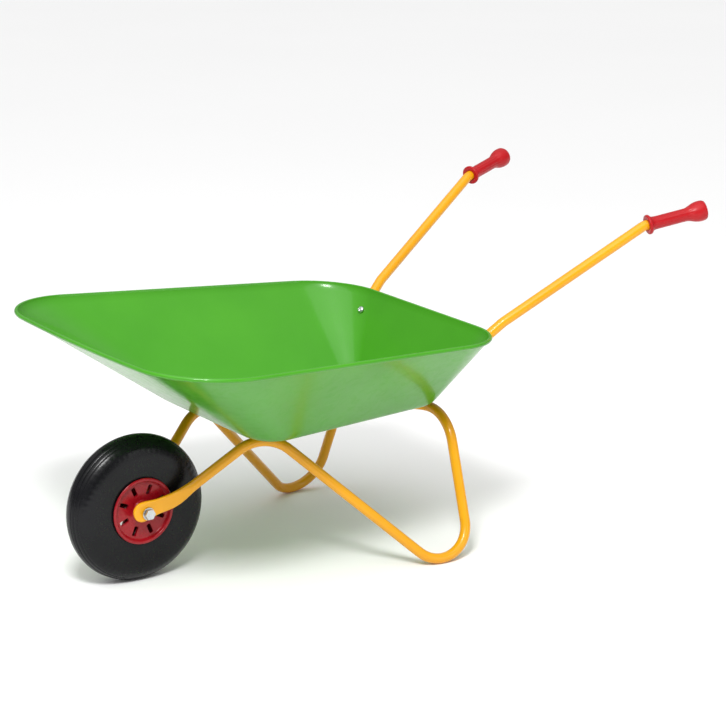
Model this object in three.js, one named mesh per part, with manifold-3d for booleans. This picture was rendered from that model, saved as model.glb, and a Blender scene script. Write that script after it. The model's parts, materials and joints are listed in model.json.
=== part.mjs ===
// A child's metal wheelbarrow: a pressed pan on two bent side tubes, with separate handles and one wheel.
// Millimetres. +Z is up, +X points back to the grips, +Y is the user's right. The ground is z = 0.
import * as THREE from 'three';
import { ParametricGeometry } from 'three/addons/geometries/ParametricGeometry.js';
import { mergeVertices } from 'three/addons/utils/BufferGeometryUtils.js';
import Module from 'manifold-3d';

const wasm = await Module();
wasm.setup();

// Tray
const FLOOR_Z = 193;
const SHEET = 1;
const RIM = { front: -416.8, rear: 129.8, frontHalf: 264.7, rearHalf: 207.5, frontZ: 336.6, rearZ: 301.6 };
const RIM_CORNER = { front: 100, rear: 94 };
const FLOOR = { front: -220.4, rear: 74.4, frontHalf: 130.5, rearHalf: 99, frontZ: FLOOR_Z, rearZ: FLOOR_Z };
const FLOOR_CORNER = { front: 39, rear: 20 };
const RIM_BOW = 13;
const BEAD_RADIUS = 3;
const TRAY_AROUND = 40;
const ARC_SHARE = 0.8;
const REAR_CORNER_START = 0.5;
const SEARCH_STEP = 0.001;

// Tubes
const TUBE_RADIUS = 7;
const TUBE_BORE = 5.8;
const TUBE_SIDES = 12;
const BORE_SIDES = 8;
const BEND_STEP = Math.PI / 10;
const FLOOR_GAP = 0.4;
const SCREW_LENGTH = 10;
const HANDLE_SCREW_LENGTH = 13;
const RUN_Z = FLOOR_Z - FLOOR_GAP - TUBE_RADIUS;
const CROSS_X = 54;
const SPIGOT_HALF = 24;
const FORK_Y = 33.3;
const FORK = { thickness: 5, width: 27, neck: 21, tip: 13.5, flat: 54, blend: 96 };

// Side tube: corner points on the user's right, with the bend radius at each
const AXLE = { x: -344.8, z: 100 };
const SIDE_PATH = [
  { at: [AXLE.x - 20.5, FORK_Y, AXLE.z + 0.6], bend: 0 },
  { at: [-302.3, FORK_Y, 110.5], bend: 40 },
  { at: [-192, 83, 200.7], bend: 53 },
  { at: [67.2, 211.9, -50.7], bend: 45.5 },
  { at: [82, 119.6, RUN_Z], bend: 57 },
  { at: [82, 66, RUN_Z], bend: 30 },
  { at: [CROSS_X, 38, RUN_Z], bend: 30 },
  { at: [CROSS_X, 0.3, RUN_Z], bend: 0 },
];
const FRONT_SCREW = { x: -194.5, y: 82.3 };
const REAR_SCREW = { x: CROSS_X, y: 15 };

// Handle
const GRIP_END = [439.2, 227, 447];
const GRIP_START = [358.7, 202.5, 431.4];
const HANDLE_KINK = [155, 144.6, 309.9];
const HANDLE_SCREW = { y: 129.5, z: 274.6 };
const TAB = { thickness: 4, width: 18, neck: 18, tip: 7, flat: 19, blend: 34 };
const TAB_ABOVE = 3;
const TAB_BELOW = 12;
const TAB_GAP = 0.6;
const GRIP_LEAD = 5;
const HANDLE_SEAT_GAP = 1;

// Wheel, all about the Y axis
const WHEEL_RADIUS = 100;
const TYRE_HALF_WIDTH = 24;
const RIM_BORE = 7.4;
const AXLE_RADIUS = 4;
const BUSH_BORE = 4.06;
const SLOT_COUNT = 8;
const SLOT = { radius: 29.3, length: 13.5, width: 6.2 };
const WHEEL_SEGMENTS = 32;

const SIDES = [{ name: 'left', sign: -1 }, { name: 'right', sign: 1 }];
const vec = (a) => new THREE.Vector3(...a);

const paint = (color, roughness, metalness) => () => (
  new THREE.MeshStandardMaterial({ color, roughness, metalness })
);
const greenPaint = paint(0x57b334, 0.22, 0.1);
const yellowPaint = paint(0xf9b318, 0.3, 0.1);
const redPlastic = paint(0xc8142c, 0.4, 0);
const blackRubber = paint(0x1c1c1f, 0.75, 0);
const zincSteel = paint(0xb9bdc2, 0.35, 0.9);
const whitePlastic = paint(0xe6e3da, 0.5, 0);

// Turns a closed geometry into a solid with its faces pointing out.
function toSolid(geometry) {
  const bare = geometry.clone();
  bare.deleteAttribute('normal');
  bare.deleteAttribute('uv');
  const merged = mergeVertices(bare, 1e-3);
  const points = merged.attributes.position.array;
  const corners = Array.from(merged.index.array);
  const kept = [];
  let volume = 0;
  const [a, b, c] = [new THREE.Vector3(), new THREE.Vector3(), new THREE.Vector3()];
  for (let i = 0; i < corners.length; i += 3) {
    const [p, q, r] = corners.slice(i, i + 3);
    if (p === q || q === r || p === r) continue;
    kept.push(p, q, r);
    a.fromArray(points, 3 * p);
    b.fromArray(points, 3 * q);
    c.fromArray(points, 3 * r);
    volume += a.dot(b.cross(c));
  }
  if (volume < 0) kept.reverse();
  const mesh = new wasm.Mesh({
    numProp: 3,
    vertProperties: new Float32Array(points),
    triVerts: new Uint32Array(kept),
  });
  return new wasm.Manifold(mesh);
}

function fromSolid(solid) {
  const mesh = solid.getMesh();
  const geometry = new THREE.BufferGeometry();
  geometry.setAttribute('position', new THREE.BufferAttribute(mesh.vertProperties, 3));
  geometry.setIndex(new THREE.BufferAttribute(mesh.triVerts, 1));
  geometry.computeVertexNormals();
  return geometry;
}

function cut(geometry, ...tools) {
  return fromSolid(tools.reduce((solid, tool) => solid.subtract(toSolid(tool)), toSolid(geometry)));
}

function node(name, geometry, material) {
  const mesh = new THREE.Mesh(geometry, material());
  mesh.name = name;
  return mesh;
}

// Straight runs joined by true circular bends, measured by arc length.
class BentPath {
  constructor(corners) {
    this.pieces = [];
    this.marks = [];
    let from = vec(corners[0].at);
    for (let i = 1; i < corners.length - 1; i += 1) {
      const corner = vec(corners[i].at);
      const back = vec(corners[i - 1].at).sub(corner).normalize();
      const ahead = vec(corners[i + 1].at).sub(corner).normalize();
      const half = back.angleTo(ahead) / 2;
      const reach = corners[i].bend / Math.tan(half);
      const start = corner.clone().addScaledVector(back, reach);
      const middle = back.clone().add(ahead).normalize();
      const centre = corner.clone().addScaledVector(middle, corners[i].bend / Math.sin(half));
      this.addLine(from, start);
      const spoke = start.clone().sub(centre);
      const axis = back.clone().cross(ahead).normalize().negate();
      const angle = Math.PI - 2 * half;
      const soFar = this.pieces.reduce((sum, piece) => sum + piece.length, 0);
      const parts = Math.ceil(angle / BEND_STEP);
      for (let k = 0; k <= parts; k += 1) this.marks.push(soFar + (corners[i].bend * angle * k) / parts);
      this.pieces.push({
        length: corners[i].bend * angle,
        at: (s) => spoke.clone().applyAxisAngle(axis, s * angle).add(centre),
      });
      from = corner.clone().addScaledVector(ahead, reach);
    }
    this.addLine(from, vec(corners[corners.length - 1].at));
    this.total = this.pieces.reduce((sum, piece) => sum + piece.length, 0);
  }

  addLine(start, end) {
    this.pieces.push({ length: start.distanceTo(end), at: (s) => start.clone().lerp(end, s) });
  }

  // The point at a distance along the path. Past either end it carries on straight.
  pointAtLength(distance) {
    const inside = THREE.MathUtils.clamp(distance, 0, this.total);
    let left = inside;
    let point = this.pieces[this.pieces.length - 1].at(1);
    for (const piece of this.pieces) {
      if (left <= piece.length) {
        point = piece.at(left / piece.length);
        break;
      }
      left -= piece.length;
    }
    if (distance === inside) return point;
    const past = distance - inside;
    const near = this.pointAtLength(inside - Math.sign(past));
    return point.clone().add(point.clone().sub(near).setLength(Math.abs(past)));
  }
}

// The part of a path between two distances, with a station at each end and round each bend.
class Stations extends THREE.Curve {
  constructor(path, start, end, extra) {
    super();
    this.path = path;
    const within = [...path.marks, ...extra].filter((mark) => mark > start + 1 && mark < end - 1);
    this.distances = [start, ...within.sort((a, b) => a - b), end];
  }

  distanceAt(u) {
    const place = u * (this.distances.length - 1);
    const i = Math.min(Math.floor(place + 1e-6), this.distances.length - 2);
    return THREE.MathUtils.lerp(this.distances[i], this.distances[i + 1], place - i);
  }

  getPointAt(u, target = new THREE.Vector3()) {
    return target.copy(this.path.pointAtLength(this.distanceAt(u)));
  }

  getPoint(t, target) {
    return this.getPointAt(t, target);
  }

  getTangentAt(u, target = new THREE.Vector3()) {
    const s = this.distanceAt(u);
    const behind = this.path.pointAtLength(s - 0.05);
    return target.copy(this.path.pointAtLength(s + 0.05)).sub(behind).normalize();
  }
}

function circleShape(radius, sides) {
  const corners = [];
  for (let i = 0; i < sides; i += 1) {
    const angle = (2 * Math.PI * (i + 0.5)) / sides;
    corners.push(new THREE.Vector2(radius * Math.cos(angle), radius * Math.sin(angle)));
  }
  return new THREE.Shape(corners);
}

function sweep(path, radius, sides, start = 0, end = path.total, extra = []) {
  const extrudePath = new Stations(path, start, end, extra);
  const steps = extrudePath.distances.length - 1;
  return new THREE.ExtrudeGeometry(circleShape(radius, sides), { steps, extrudePath });
}

// A turned piece about the Y axis, from a closed profile of radius and height.
function lathe(profile, segments = WHEEL_SEGMENTS) {
  const points = profile.map(([r, y]) => new THREE.Vector2(r, y));
  return fromSolid(toSolid(new THREE.LatheGeometry(points, segments)));
}

// A rod or hole between two points.
function rod(start, end, radius, sides = 16) {
  const along = end.clone().sub(start);
  const geometry = new THREE.CylinderGeometry(radius, radius, along.length(), sides);
  const turn = new THREE.Quaternion().setFromUnitVectors(new THREE.Vector3(0, 1, 0), along.normalize());
  geometry.applyQuaternion(turn);
  const middle = start.clone().add(end).multiplyScalar(0.5);
  return geometry.translate(middle.x, middle.y, middle.z);
}

// ---- Tray ----

// One point of a rounded trapezoid, with its outward direction. u runs once round the outline.
function outline(u, plan, corner, bow) {
  const corners = [
    { x: plan.front, y: -plan.frontHalf, r: corner.front },
    { x: plan.rear, y: -plan.rearHalf, r: corner.rear },
    { x: plan.rear, y: plan.rearHalf, r: corner.rear },
    { x: plan.front, y: plan.frontHalf, r: corner.front },
  ];
  const quarter = (u % 1) * 4;
  const i = Math.floor(quarter);
  const here = new THREE.Vector2(corners[i].x, corners[i].y);
  const ends = [corners[(i + 3) % 4], corners[(i + 1) % 4]].map((c) => new THREE.Vector2(c.x, c.y));
  const back = ends[0].clone().sub(here).normalize();
  const ahead = ends[1].clone().sub(here).normalize();
  const half = Math.acos(THREE.MathUtils.clamp(back.dot(ahead), -1, 1)) / 2;
  const middle = back.clone().add(ahead).normalize();
  const centre = here.clone().addScaledVector(middle, corners[i].r / Math.sin(half));
  const turn = Math.PI - 2 * half;
  // The rest of each corner's share is the straight run to the next corner.
  const share = quarter - i;
  const startAngle = Math.atan2(-middle.y, -middle.x) - turn / 2;
  const angle = startAngle + turn * Math.min(share / ARC_SHARE, 1);
  const normal = new THREE.Vector2(Math.cos(angle), Math.sin(angle));
  const point = centre.addScaledVector(normal, corners[i].r);
  if (share > ARC_SHARE) {
    const next = outline(((i + 1) % 4) / 4, plan, corner, 0);
    point.lerp(new THREE.Vector2(next.x, next.y), (share - ARC_SHARE) / (1 - ARC_SHARE));
  }
  const toFront = THREE.MathUtils.clamp((plan.rear - point.x) / (plan.rear - plan.front), 0, 1);
  const across = THREE.MathUtils.clamp(point.y / plan.frontHalf, -1, 1);
  const x = point.x - bow * (1 - across * across) * toFront ** 3;
  const z = plan.rearZ + (plan.frontZ - plan.rearZ) * toFront;
  return { x, y: point.y, z, normal };
}

// The foot and the top of the wall at one place round the outline, and the middle of the bead above it.
function wallEnds(u) {
  const low = outline(u, FLOOR, FLOOR_CORNER, 0);
  const high = outline(u, RIM, RIM_CORNER, RIM_BOW);
  const n = new THREE.Vector3(high.normal.x, high.normal.y, 0);
  const foot = new THREE.Vector3(low.x, low.y, low.z);
  const beadCentre = new THREE.Vector3(high.x, high.y, high.z).addScaledVector(n, -BEAD_RADIUS);
  const wallTop = beadCentre.clone().addScaledVector(n, -BEAD_RADIUS * 0.6);
  wallTop.z -= BEAD_RADIUS * 0.8;
  return { n, foot, beadCentre, wallTop };
}

// The pan's section at one place round the outline, from the middle underneath to the middle of the floor.
function traySection(u) {
  const { n, foot, beadCentre, wallTop } = wallEnds(u);
  const middle = new THREE.Vector3((FLOOR.front + FLOOR.rear) / 2, 0, FLOOR_Z);
  const inset = foot.clone().addScaledVector(n, -13);
  const up = foot.clone().lerp(wallTop, 0.12);
  const fillet = new THREE.QuadraticBezierCurve3(inset, foot, up);
  const outer = [middle, ...fillet.getPoints(4), foot.clone().lerp(wallTop, 0.55), wallTop];
  const bead = [-90, -35, 20, 75, 130].map((degrees) => {
    const angle = THREE.MathUtils.degToRad(degrees);
    const point = beadCentre.clone().addScaledVector(n, BEAD_RADIUS * Math.cos(angle));
    point.z += BEAD_RADIUS * Math.sin(angle);
    return point;
  });
  const inner = outer.map((point, i) => {
    const lifted = point.clone();
    if (i > 1) lifted.addScaledVector(n, -0.72 * SHEET);
    lifted.z += SHEET;
    return lifted;
  });
  return [...outer, ...bead, ...inner.reverse()];
}

function trayGeometry() {
  const stations = traySection(0).length;
  const sections = [];
  for (let i = 0; i < TRAY_AROUND; i += 1) sections.push(traySection(i / TRAY_AROUND));
  const place = (u, v, target) => {
    const section = sections[Math.round(u * TRAY_AROUND) % TRAY_AROUND];
    target.copy(section[Math.round(v * (stations - 1))]);
  };
  return new ParametricGeometry(place, TRAY_AROUND, stations - 1);
}

// A point on the outside of the wall, at a place round the outline and a height.
function wallAt(u, z) {
  const { foot, wallTop } = wallEnds(u);
  return foot.clone().lerp(wallTop, (z - foot.z) / (wallTop.z - foot.z));
}

// A place in the rear corner of the wall's outside, with its outward normal and the uphill direction.
function rearWall(y, z, sign) {
  let u = REAR_CORNER_START;
  while (wallAt(u, z).y < y) u += SEARCH_STEP;
  const point = wallAt(u, z);
  const round = wallAt(u + 5 * SEARCH_STEP, z).sub(wallAt(u - 5 * SEARCH_STEP, z));
  const rise = wallAt(u, z + 1).sub(wallAt(u, z - 1));
  const normal = round.cross(rise).normalize();
  const uphill = new THREE.Vector3(0, 0, 1).addScaledVector(normal, -normal.z).normalize();
  for (const v of [point, normal, uphill]) v.y *= sign;
  return { point, normal, uphill };
}

// ---- Tubes ----

// How much of the pressed width is left at a distance from the rounded tip.
const tipShare = (s, tip) => (s < tip ? Math.max(Math.sqrt(1 - (1 - s / tip) ** 2), 0.35) : 1);

// The distances from a pressed end that its shape needs a station at.
function pressedStations({ tip, flat, blend }) {
  return [tip * 0.08, tip * 0.3, tip * 0.6, tip, tip * 1.7, tip * 2.4, flat, (flat + blend) / 2, blend];
}

// Presses one end of a swept tube flat. fromEnd turns a distance along the path into one from that end.
function pressEnd(geometry, path, distances, fromEnd, thinDirection, size) {
  const stations = distances.map((distance) => {
    const centre = path.pointAtLength(distance);
    const along = path.pointAtLength(distance + 0.05).sub(path.pointAtLength(distance - 0.05)).normalize();
    const wide = along.clone().cross(thinDirection).normalize();
    return { s: fromEnd(distance), centre, along, wide, thin: wide.clone().cross(along) };
  });
  const points = geometry.attributes.position;
  const point = new THREE.Vector3();
  const offset = new THREE.Vector3();
  const misfit = ({ centre, along }) => {
    offset.copy(point).sub(centre);
    return Math.abs(offset.dot(along)) + Math.abs(offset.length() - TUBE_RADIUS);
  };
  for (let i = 0; i < points.count; i += 1) {
    point.fromBufferAttribute(points, i);
    const station = stations.reduce((best, next) => (misfit(next) < misfit(best) ? next : best));
    if (station.s > size.blend) continue;
    const blend = 1 - THREE.MathUtils.smoothstep(station.s, size.flat, size.blend);
    const necked = THREE.MathUtils.smoothstep(station.s, size.tip, 3 * size.tip);
    const width = THREE.MathUtils.lerp(size.width, size.neck, necked);
    const wideRatio = (width * tipShare(station.s, size.tip)) / (2 * TUBE_RADIUS);
    const thinRatio = size.thickness / (2 * TUBE_RADIUS);
    offset.copy(point).sub(station.centre);
    const [across, side] = [offset.dot(station.thin), offset.dot(station.wide)];
    point.addScaledVector(station.thin, across * (thinRatio - 1) * blend);
    point.addScaledVector(station.wide, side * (wideRatio - 1) * blend);
    points.setXYZ(i, point.x, point.y, point.z);
  }
  return geometry;
}

function mirrored(corners, sign) {
  return corners.map(({ at, bend }) => ({ at: [at[0], sign * at[1], at[2]], bend }));
}

function sideFrame(sign) {
  const path = new BentPath(mirrored(SIDE_PATH, sign));
  const pressed = pressedStations(FORK);
  const { distances } = new Stations(path, 0, path.total, pressed);
  const swept = sweep(path, TUBE_RADIUS, TUBE_SIDES, 0, path.total, pressed);
  const outside = pressEnd(swept, path, distances, (s) => s, new THREE.Vector3(0, 1, 0), FORK);
  const bore = sweep(path, TUBE_BORE, BORE_SIDES, FORK.blend + 10, path.total + 4);
  const axle = (y) => new THREE.Vector3(AXLE.x, sign * y, AXLE.z);
  const axleHole = rod(axle(20), axle(46), 4.4);
  const frontHole = floorHole(FRONT_SCREW, sign);
  const rearHole = floorHole(REAR_SCREW, sign);
  return cut(outside, bore, axleHole, frontHole, rearHole);
}

function floorHole(screw, sign) {
  const at = (z) => new THREE.Vector3(screw.x, sign * screw.y, z);
  return rod(at(FLOOR_Z - 9.6), at(FLOOR_Z + 8), 2.9, 12);
}

function joiningSpigot() {
  const end = (y) => new THREE.Vector3(CROSS_X, y, RUN_Z);
  const bar = rod(end(-SPIGOT_HALF), end(SPIGOT_HALF), TUBE_BORE - 0.5, BORE_SIDES);
  return cut(bar, floorHole(REAR_SCREW, 1), floorHole(REAR_SCREW, -1));
}

// The grip end, the long straight run, and a flattened tab lying on the rear wall.
function handleTube(sign, hole) {
  const { point, normal, uphill } = rearWall(HANDLE_SCREW.y, HANDLE_SCREW.z, sign);
  const middle = point.addScaledVector(normal, TAB_GAP + TAB.thickness / 2);
  const tabTop = middle.clone().addScaledVector(uphill, TAB_ABOVE);
  const tabFoot = middle.clone().addScaledVector(uphill, -TAB_BELOW);
  const gripAxis = vec(GRIP_END).sub(vec(GRIP_START)).normalize();
  const tip = vec(GRIP_END).lerp(vec(GRIP_START), 0.05).toArray();
  const bendAt = vec(GRIP_START).addScaledVector(gripAxis, -GRIP_LEAD).toArray();
  const upper = mirrored([
    { at: tip, bend: 0 },
    { at: bendAt, bend: 24 },
    { at: HANDLE_KINK, bend: 26 },
  ], sign);
  const lower = [{ at: tabTop.toArray(), bend: 14 }, { at: tabFoot.toArray(), bend: 0 }];
  const path = new BentPath([...upper, ...lower]);
  const fromTab = (s) => path.total - s;
  const pressed = pressedStations(TAB).map(fromTab);
  const { distances } = new Stations(path, 0, path.total, pressed);
  const swept = sweep(path, TUBE_RADIUS, TUBE_SIDES, 0, path.total, pressed);
  const outside = pressEnd(swept, path, distances, fromTab, normal, TAB);
  const bore = sweep(path, TUBE_BORE, BORE_SIDES, -4, path.total - TAB.blend - 12);
  return cut(outside, bore, hole);
}

// ---- Fasteners ----

// A round-headed screw; the head's underside is at the seat and the shank runs the other way.
function screw(headRadius, headHeight, shankRadius, shankLength) {
  const profile = [
    [0, -shankLength], [shankRadius, -shankLength], [shankRadius, 0], [headRadius, 0],
    [headRadius * 0.92, headHeight * 0.55], [headRadius * 0.55, headHeight * 0.92], [0, headHeight],
  ];
  return lathe(profile, 10);
}

function hexPiece(acrossFlats, height, holeRadius) {
  const hex = new THREE.CylinderGeometry(acrossFlats / Math.sqrt(3), acrossFlats / Math.sqrt(3), height, 6);
  if (!holeRadius) return hex;
  return cut(hex, new THREE.CylinderGeometry(holeRadius, holeRadius, height + 2, 12));
}

function ring(inner, outer, height, segments = 18) {
  const h = height / 2;
  const profile = [[inner, -h], [outer, -h], [outer, h], [inner, h], [inner, -h]];
  return lathe(profile, segments);
}

// Points a piece's own +Y along a direction and puts it at a point.
function aim(mesh, at, direction) {
  mesh.quaternion.setFromUnitVectors(new THREE.Vector3(0, 1, 0), direction.clone().normalize());
  mesh.position.copy(at);
  return mesh;
}

// ---- Wheel ----

function tyreGeometry() {
  const halfOutside = [
    [42.6, 14], [42.6, 20.4], [47.2, 21.9], [60, 23.6], [73.6, TYRE_HALF_WIDTH],
    [86, 21.4], [94.6, 14.8], [98.8, 7.6],
  ];
  const halfInside = [[95.6, 0], [91, 11], [82, 17.6], [72, 19.8], [58, 19.4], [49, 16.4]];
  const flip = ([r, y]) => [r, -y];
  const outside = [...halfOutside, [WHEEL_RADIUS, 0], ...halfOutside.slice().reverse().map(flip)];
  const inside = [...halfInside.slice(1).reverse().map(flip), ...halfInside];
  return lathe([...outside, ...inside, halfOutside[0]]);
}

// A thin-walled tube lying inside the tyre, slit on its rim side.
function innerTubeGeometry() {
  const half = [[94.4, 0], [88.5, 11], [70, 18.4], [57, 17.6], [48, 8]];
  const flip = ([r, y]) => [r, -y];
  const outside = [...half.slice(1).reverse().map(flip), ...half];
  const thinner = ([r, y]) => [72 + (r - 72) * 0.95, y * 0.93];
  const inside = outside.map(thinner).reverse();
  return lathe([...outside, ...inside, outside[0]]);
}

function rimHalf() {
  const profile = [
    [RIM_BORE, 0.2], [12, 0.2], [12.6, 16.6], [36.4, 16.6], [38, 14], [38, 0.2], [41.6, 0.2], [41.9, 20.8],
    [45.6, 23.2], [44.4, 25.2], [41, 25], [39.4, 20.2], [14.6, 19.8], [13, 23.6], [RIM_BORE, 23.6],
    [RIM_BORE, 0.2],
  ];
  const slots = [];
  for (let i = 0; i < SLOT_COUNT; i += 1) {
    const slot = new THREE.BoxGeometry(SLOT.length, 12, SLOT.width);
    slot.translate(SLOT.radius, 18.5, 0).rotateY((2 * Math.PI * (i + 0.5)) / SLOT_COUNT);
    slots.push(slot);
  }
  const valveHole = new THREE.CylinderGeometry(3.5, 3.5, 16, 16).rotateZ(Math.PI / 2).translate(40, 0, 0);
  return cut(lathe(profile), ...slots, valveHole);
}

function bushGeometry() {
  const profile = [
    [BUSH_BORE, 0.4], [RIM_BORE - 0.35, 0.4], [RIM_BORE - 0.35, 24], [10.4, 24], [10.4, 25.8],
    [BUSH_BORE, 25.8], [BUSH_BORE, 0.4],
  ];
  return lathe(profile, 32);
}

function valveGeometry() {
  const profile = [[0, 24], [2.4, 24], [2.4, 31], [3, 31.4], [3, 44.5], [6, 45.2], [6, 46.2], [0, 46.2]];
  return lathe(profile, 16).rotateZ(-Math.PI / 2);
}

// ---- Grips ----

function gripGeometry() {
  const bore = TUBE_RADIUS + 0.35;
  const profile = [
    [0, 83], [bore, 83], [bore, 0], [12.5, 0], [13.75, 1.4], [13.75, 4], [9.2, 8], [8.9, 20], [9.2, 60],
    [11.8, 74], [14.8, 81.5], [14.8, 86], [11, 88], [0, 88],
  ];
  return lathe(profile, 18);
}

// ---- Assembly ----

const wheelbarrow = new THREE.Group();
const add = (mesh) => wheelbarrow.add(mesh);

function addFloorScrews(tools) {
  for (const [place, at] of [['front', FRONT_SCREW], ['rear', REAR_SCREW]]) {
    for (const side of SIDES) {
      const y = side.sign * at.y;
      tools.push(floorHole(at, side.sign));
      const screwMesh = node(`floor_screw_${place}_${side.name}`, screw(5, 3, 2.4, SCREW_LENGTH), zincSteel);
      add(aim(screwMesh, new THREE.Vector3(at.x, y, FLOOR_Z + SHEET + 0.3), new THREE.Vector3(0, 0, 1)));
    }
  }
}

function addHandles(tools) {
  for (const side of SIDES) {
    const { point, normal } = rearWall(HANDLE_SCREW.y, HANDLE_SCREW.z, side.sign);
    const off = (distance) => point.clone().addScaledVector(normal, distance);
    const hole = rod(off(-9), off(16), 2.9, 12);
    tools.push(hole);
    const inward = normal.clone().negate();
    const screwMesh = node(`handle_screw_${side.name}`, screw(5, 3, 2.4, HANDLE_SCREW_LENGTH), zincSteel);
    add(aim(screwMesh, off(-1.1 * SHEET - HANDLE_SEAT_GAP), inward));
    const nut = node(`handle_nut_${side.name}`, hexPiece(8, 4, 2.7), zincSteel);
    add(aim(nut, off(TAB_GAP + TAB.thickness + 2.9), normal));
    add(node(`handle_tube_${side.name}`, handleTube(side.sign, hole), yellowPaint));
    const start = vec(GRIP_START);
    const end = vec(GRIP_END);
    start.y *= side.sign;
    end.y *= side.sign;
    const along = end.clone().sub(start).normalize();
    const grip = node(`grip_${side.name}`, gripGeometry(), redPlastic);
    add(aim(grip, end.addScaledVector(along, -86), along));
  }
}

function addWheel() {
  const wheel = new THREE.Group();
  wheel.position.set(AXLE.x, 0, AXLE.z);
  wheel.add(node('tyre', tyreGeometry(), blackRubber));
  wheel.add(node('inner_tube', innerTubeGeometry(), blackRubber));
  wheel.add(node('tube_valve', valveGeometry(), zincSteel));
  for (const side of SIDES) {
    const turned = side.sign < 0 ? Math.PI : 0;
    const rim = node(`wheel_rim_${side.name}`, rimHalf(), redPlastic);
    rim.rotation.x = turned;
    const bush = node(`hub_bush_${side.name}`, bushGeometry(), whitePlastic);
    bush.rotation.x = turned;
    const spacer = node(`axle_spacer_${side.name}`, ring(4.3, 7, 4.2), zincSteel);
    spacer.position.y = side.sign * 28.3;
    const washer = node(`axle_washer_${side.name}`, ring(4.3, 8.5, 1.4), zincSteel);
    washer.position.y = side.sign * 36.8;
    wheel.add(rim, bush, spacer, washer);
  }
  const boltHead = hexPiece(13, 5, 0).translate(0, -40.3, 0);
  const shank = new THREE.CylinderGeometry(AXLE_RADIUS, AXLE_RADIUS, 84, 24).translate(0, 4, 0);
  const bolt = fromSolid(toSolid(boltHead).add(toSolid(shank)));
  wheel.add(node('axle_bolt', bolt, zincSteel));
  const nut = node('axle_nut', hexPiece(13, 6.5, AXLE_RADIUS + 0.3), zincSteel);
  nut.position.y = 41.1;
  wheel.add(nut);
  wheelbarrow.add(wheel);
}

const trayHoles = [];
addFloorScrews(trayHoles);
addHandles(trayHoles);
add(node('tray', cut(trayGeometry(), ...trayHoles), greenPaint));
for (const side of SIDES) add(node(`side_frame_${side.name}`, sideFrame(side.sign), yellowPaint));
add(node('frame_joining_spigot', joiningSpigot(), zincSteel));
addWheel();

export default wheelbarrow;
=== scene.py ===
import json
import math

import bmesh
import bpy
from mathutils import Matrix, Quaternion, Vector

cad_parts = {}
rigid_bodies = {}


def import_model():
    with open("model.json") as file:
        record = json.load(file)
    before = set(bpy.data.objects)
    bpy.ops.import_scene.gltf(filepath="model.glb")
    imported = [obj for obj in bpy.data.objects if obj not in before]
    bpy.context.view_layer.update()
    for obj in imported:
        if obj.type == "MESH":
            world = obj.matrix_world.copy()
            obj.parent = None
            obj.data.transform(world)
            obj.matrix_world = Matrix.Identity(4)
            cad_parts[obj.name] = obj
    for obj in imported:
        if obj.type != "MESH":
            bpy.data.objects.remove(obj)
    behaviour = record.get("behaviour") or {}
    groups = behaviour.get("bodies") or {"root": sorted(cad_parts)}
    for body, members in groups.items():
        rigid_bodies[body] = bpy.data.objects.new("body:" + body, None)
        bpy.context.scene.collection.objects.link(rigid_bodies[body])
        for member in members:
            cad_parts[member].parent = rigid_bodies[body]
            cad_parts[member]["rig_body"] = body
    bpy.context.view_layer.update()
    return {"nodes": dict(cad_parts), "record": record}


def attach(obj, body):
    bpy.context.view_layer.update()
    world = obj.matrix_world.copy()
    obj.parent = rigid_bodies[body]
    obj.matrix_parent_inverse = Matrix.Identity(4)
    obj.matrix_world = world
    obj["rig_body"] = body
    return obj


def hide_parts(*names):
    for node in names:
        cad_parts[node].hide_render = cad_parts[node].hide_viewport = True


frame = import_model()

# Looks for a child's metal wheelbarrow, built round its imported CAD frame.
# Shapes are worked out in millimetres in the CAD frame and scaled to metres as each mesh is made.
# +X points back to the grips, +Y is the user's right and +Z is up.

MM = 0.001

# Camera, in metres, degrees and millimetres of lens
CAMERA_AT = (-2.02419, -2.93817, 1.24567)
CAMERA_AZIMUTH = 34.87358
CAMERA_PITCH = 15.69221
CAMERA_ROLL = 0.21218
CAMERA_LENS = 132.95
SENSOR = 36.0

# Tray
FLOOR_Z = 193.0
SHEET = 1.0
RIM = {
    "front": -416.8, "front_half": 263.8, "front_z": 336.6,
    "rear": 129.8, "rear_half": 207.5, "rear_z": 301.6,
}
RIM_CORNER = {"front": 100.0, "rear": 94.0}
FLOOR = {
    "front": -220.4, "front_half": 130.5, "front_z": FLOOR_Z,
    "rear": 74.4, "rear_half": 99.0, "rear_z": FLOOR_Z,
}
FLOOR_CORNER = {"front": 39.0, "rear": 20.0}
RIM_BOW = 13.0
BEAD_RADIUS = 3.0
CURL_DEGREES = (-128, -118, -100, -80, -58, -34, -10, 14, 38, 62, 86, 108, 126)
FLOOR_FILLET = 13.0
TRAY_AROUND = 336
ARC_SHARE = 0.72
WALL_INSET = 0.72 * SHEET

# Tubes
TUBE_RADIUS = 7.0
TUBE_SIDES = 40
BEND_STEP = math.radians(4)
STRAIGHT_STEP = 14.0
RUN_Z = FLOOR_Z - 0.4 - TUBE_RADIUS
CROSS_X = 54.0
AXLE = Vector([c / MM for c in frame["record"]["behaviour"]["joints"][0]["pos_m"]])
FORK_Y = 33.3
FORK = {"thickness": 5.0, "width": 27.0, "neck": 21.0, "tip": 13.5, "flat": 54.0, "blend": 96.0, "dish": 0.7}
SIDE_PATH = [
    ((AXLE.x - 20.5, FORK_Y, AXLE.z + 0.6), 0),
    ((-302.3, FORK_Y, 110.5), 40),
    ((-192, 83, 200.7), 53),
    ((67.2, 211.9, -50.7), 45.5),
    ((82, 119.6, RUN_Z), 57),
    ((82, 66, RUN_Z), 30),
    ((CROSS_X, 38, RUN_Z), 30),
    ((CROSS_X, 0.3, RUN_Z), 0),
]
FRONT_SCREW = (-194.5, 82.3)
REAR_SCREW = (CROSS_X, 15.0)
FLOOR_SCREW_LENGTH = 10.0

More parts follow.
